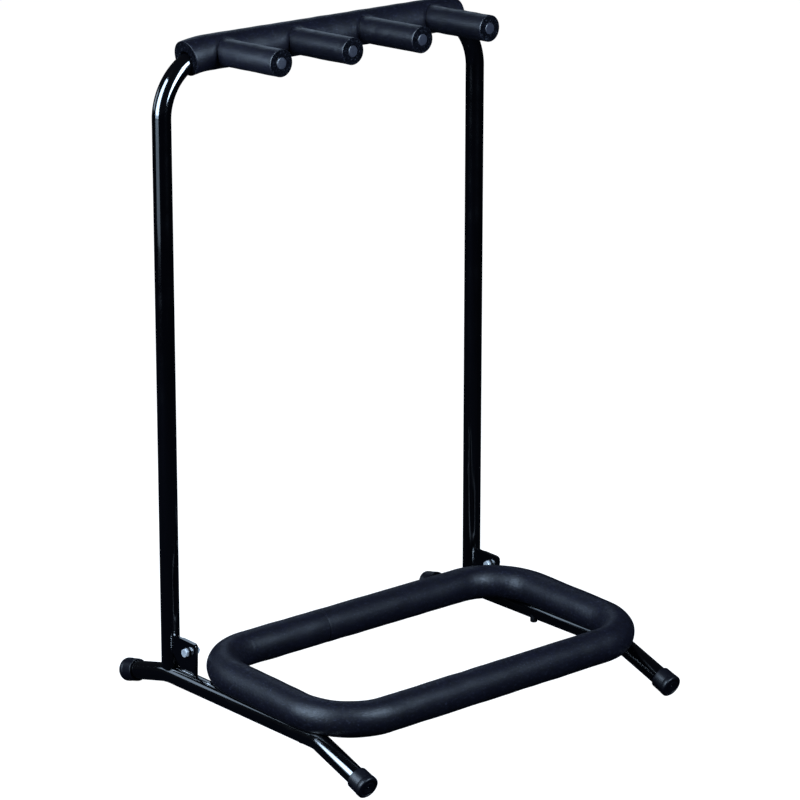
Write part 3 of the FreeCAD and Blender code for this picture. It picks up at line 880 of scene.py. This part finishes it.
def weld_bead(name, first, last, width, body, material, seed):
    """Short rippled bead laid between two points."""
    first = np.array(first, float)
    last = np.array(last, float)
    length = float(np.linalg.norm(last - first))
    axis = (last - first) / length
    profile = [(0, 0)]
    for part in np.linspace(0, 1, 40)[1:-1]:
        taper = min(1.0, math.sqrt(math.sin(math.pi * part)) * 1.15)
        wave = 1 + 0.22 * math.sin(WHOLE_TURN * part * length / WELD_RIPPLE)
        profile.append((part * length, width / 2 * taper * wave))
    profile.append((length, 0))
    uneven = waves(seed, 3 * MM, 9 * MM, 5)
    side = X_AXIS if abs(axis[0]) < 0.9 else Z_AXIS
    across = np.cross(axis, side)

    def lumpy(points, angles):
        along = (points - first) @ axis
        shift = uneven(along, 0 * along) * 0.12 * MM
        return points + shift[..., None] * across

    mesh = lathe_mesh(name, profile, first, axis, material, 20, lumpy)
    finish_piece(name, mesh, body)


def make_welds(material):
    """Beads between each bracket and its foot, and between each lug and its upright."""
    for side in ("left", "right"):
        low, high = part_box("hinge_bracket_" + side)
        foot_x = math.copysign(FOOT_X, low.x)
        for face, x in (("outer", low.x), ("inner", high.x)):
            ends = []
            for y in (low.y + WELD_INSET, high.y - WELD_INSET):
                aside = x - foot_x
                ends.append((x, y, float(foot_height(y)) + math.sqrt(TUBE_R ** 2 - aside ** 2)))
            name = "bracket_weld_%s_%s" % (face, side)
            weld_bead(name, *ends, BRACKET_WELD_WIDTH, "base", material, len(side))
        low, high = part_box("hinge_lug_" + side)
        for face, x in (("outer", low.x), ("inner", high.x)):
            ends = []
            aside = x - foot_x
            for z in (PIVOT.z - LUG_WELD_DROP, high.z):
                behind = BAR_Y - (BAR_Z - z) * math.tan(LEAN)
                ends.append((x, behind - math.sqrt(TUBE_R ** 2 - aside ** 2), z))
            name = "lug_weld_%s_%s" % (face, side)
            weld_bead(name, *ends, LUG_WELD_WIDTH, "upright", material, len(face))


# ---------------------------------------------------------------- camera, light and floor

CAMERA_PLACE = Vector((-2.3434, -2.6170, 1.4590))
CAMERA_HEADING = 0.8426
CAMERA_DIP = 0.3161
CAMERA_ROLL = 0.0267
CAMERA_LENS = 166.44
COOL_WHITE = (0.6, 0.78, 1)
# Name, middle, width, height and brightness of each softbox
SOFTBOXES = (
    ("left", (-1.7, 0.22, 1.42), 1.05, 1.75, 16),
    ("left_skirt_high", (-1.7, 0.22, 0.46), 1.05, 0.17, 5),
    ("left_skirt_low", (-1.7, 0.22, 0.27), 1.05, 0.21, 1.2),
    ("front", (0.08, -1.05, 1.08), 0.46, 0.9, 27),
    ("behind_left", (-0.9, 1.36, 0.8), 0.5, 0.5, 2),
    ("behind_right", (1.3, 2.2, 1.3), 1, 1, 0.9),
)
WORLD_STRENGTH = 0.02
FLOOR_HALF = 30
FLOOR_GLOW = 0.985


def make_camera():
    forward = Vector((
        math.cos(CAMERA_DIP) * math.cos(CAMERA_HEADING),
        math.cos(CAMERA_DIP) * math.sin(CAMERA_HEADING),
        -math.sin(CAMERA_DIP),
    ))
    level = Vector((math.sin(CAMERA_HEADING), -math.cos(CAMERA_HEADING), 0))
    right = Matrix.Rotation(-CAMERA_ROLL, 3, forward) @ level
    up = right.cross(forward)
    data = bpy.data.cameras.new("camera")
    data.lens = CAMERA_LENS
    camera = bpy.data.objects.new("camera", data)
    bpy.context.scene.collection.objects.link(camera)
    rotation = Matrix((right, up, -forward)).transposed()
    camera.matrix_world = Matrix.Translation(CAMERA_PLACE) @ rotation.to_4x4()
    bpy.context.scene.camera = camera


def softbox(name, place, width, height, brightness):
    """Upright rectangular light that faces the rack's middle line."""
    data = bpy.data.lights.new(name, "AREA")
    data.shape = "RECTANGLE"
    data.size = width
    data.size_y = height
    data.energy = brightness * math.pi * width * height
    data.color = COOL_WHITE
    light = bpy.data.objects.new(name, data)
    light.location = place
    light.rotation_euler = Vector((-place[0], -place[1], 0)).to_track_quat("-Z", "Y").to_euler()
    bpy.context.scene.collection.objects.link(light)


def seen_or_lit(tree, seen, lit):
    """Mixes a shader for what the camera sees directly with one for light and reflections."""
    path = tree.nodes.new("ShaderNodeLightPath")
    mix = tree.nodes.new("ShaderNodeMixShader")
    tree.links.new(path.outputs["Is Camera Ray"], mix.inputs["Fac"])
    tree.links.new(lit.outputs[0], mix.inputs[1])
    tree.links.new(seen.outputs[0], mix.inputs[2])
    return mix


def make_world():
    world = bpy.data.worlds.new("studio")
    bpy.context.scene.world = world
    world.use_nodes = True
    tree = world.node_tree
    tree.nodes.clear()
    seen = tree.nodes.new("ShaderNodeBackground")
    seen.inputs["Color"].default_value = (1, 1, 1, 1)
    lit = tree.nodes.new("ShaderNodeBackground")
    lit.inputs["Color"].default_value = (0.7, 0.8, 1, 1)
    lit.inputs["Strength"].default_value = WORLD_STRENGTH
    output = tree.nodes.new("ShaderNodeOutputWorld")
    tree.links.new(seen_or_lit(tree, seen, lit).outputs[0], output.inputs["Surface"])


def make_floor():
    """Pale floor that takes a soft shadow and stays dark in the gloss of the paint."""
    mesh = bpy.data.meshes.new("floor")
    corners = [(x * FLOOR_HALF, y * FLOOR_HALF, 0) for x, y in ((-1, -1), (1, -1), (1, 1), (-1, 1))]
    mesh.from_pydata(corners, [], [(0, 1, 2, 3)])
    floor = bpy.data.objects.new("floor", mesh)
    bpy.context.scene.collection.objects.link(floor)
    material = bpy.data.materials.new("floor")
    material.use_nodes = True
    tree = material.node_tree
    tree.nodes.clear()
    matt = tree.nodes.new("ShaderNodeBsdfDiffuse")
    matt.inputs["Color"].default_value = (0.25, 0.25, 0.25, 1)
    glow = tree.nodes.new("ShaderNodeEmission")
    glow.inputs["Strength"].default_value = FLOOR_GLOW
    seen = tree.nodes.new("ShaderNodeAddShader")
    tree.links.new(matt.outputs[0], seen.inputs[0])
    tree.links.new(glow.outputs[0], seen.inputs[1])
    dark = tree.nodes.new("ShaderNodeBsdfDiffuse")
    dark.inputs["Color"].default_value = (0.006, 0.0065, 0.009, 1)
    output = tree.nodes.new("ShaderNodeOutputMaterial")
    tree.links.new(seen_or_lit(tree, seen, dark).outputs[0], output.inputs["Surface"])
    mesh.materials.append(material)


def make_studio():
    make_camera()
    make_world()
    make_floor()
    for row in SOFTBOXES:
        softbox(*row)
    bpy.context.scene.view_settings.view_transform = "Standard"


# ---------------------------------------------------------------- everything

PLATE_EDGE_R = 0.35 * MM


def soften_edges(node):
    """Rounds a plate's sawn edges a little, so that they catch the light."""
    weld = node.modifiers.new("weld", "WELD")
    weld.merge_threshold = 0.01 * MM
    bevel = node.modifiers.new("bevel", "BEVEL")
    bevel.width = PLATE_EDGE_R
    bevel.segments = 3
    bevel.limit_method = "ANGLE"
    bevel.angle_limit = math.radians(40)
    bevel.harden_normals = True


def paint_nodes(materials):
    """Better materials on the CAD nodes that stay in sight."""
    for row in frame["record"]["subparts"]:
        node = bpy.data.objects[row["node"]]
        if row["node"].startswith(("hinge_bracket", "hinge_lug")):
            soften_edges(node)
        looks = "dark_screw" if row["node"] == "hinge_washers" else row["material_slot"]
        if looks in materials:
            for slot in node.material_slots:
                slot.material = materials[looks]


def main():
    cut = foam_cut()
    foam = [foam_skin("foam_skin", 0.35, 0.44), cut]
    make_prong_foams([foam_skin("handled_foam_skin", 0.85, 0.355), cut])
    make_bar_foam(foam)
    make_cradle_foam(foam)
    make_caps(cap_rubber())
    weld = weld_paint()
    make_welds(weld)
    paint = black_paint()
    make_feet(paint)
    make_upright(paint)
    make_plugs(plug_plastic())
    paint_nodes({
        "black_paint": paint,
        "zinc": zinc_plate(),
        "dark_screw": black_zinc(),
    })
    make_studio()


main()
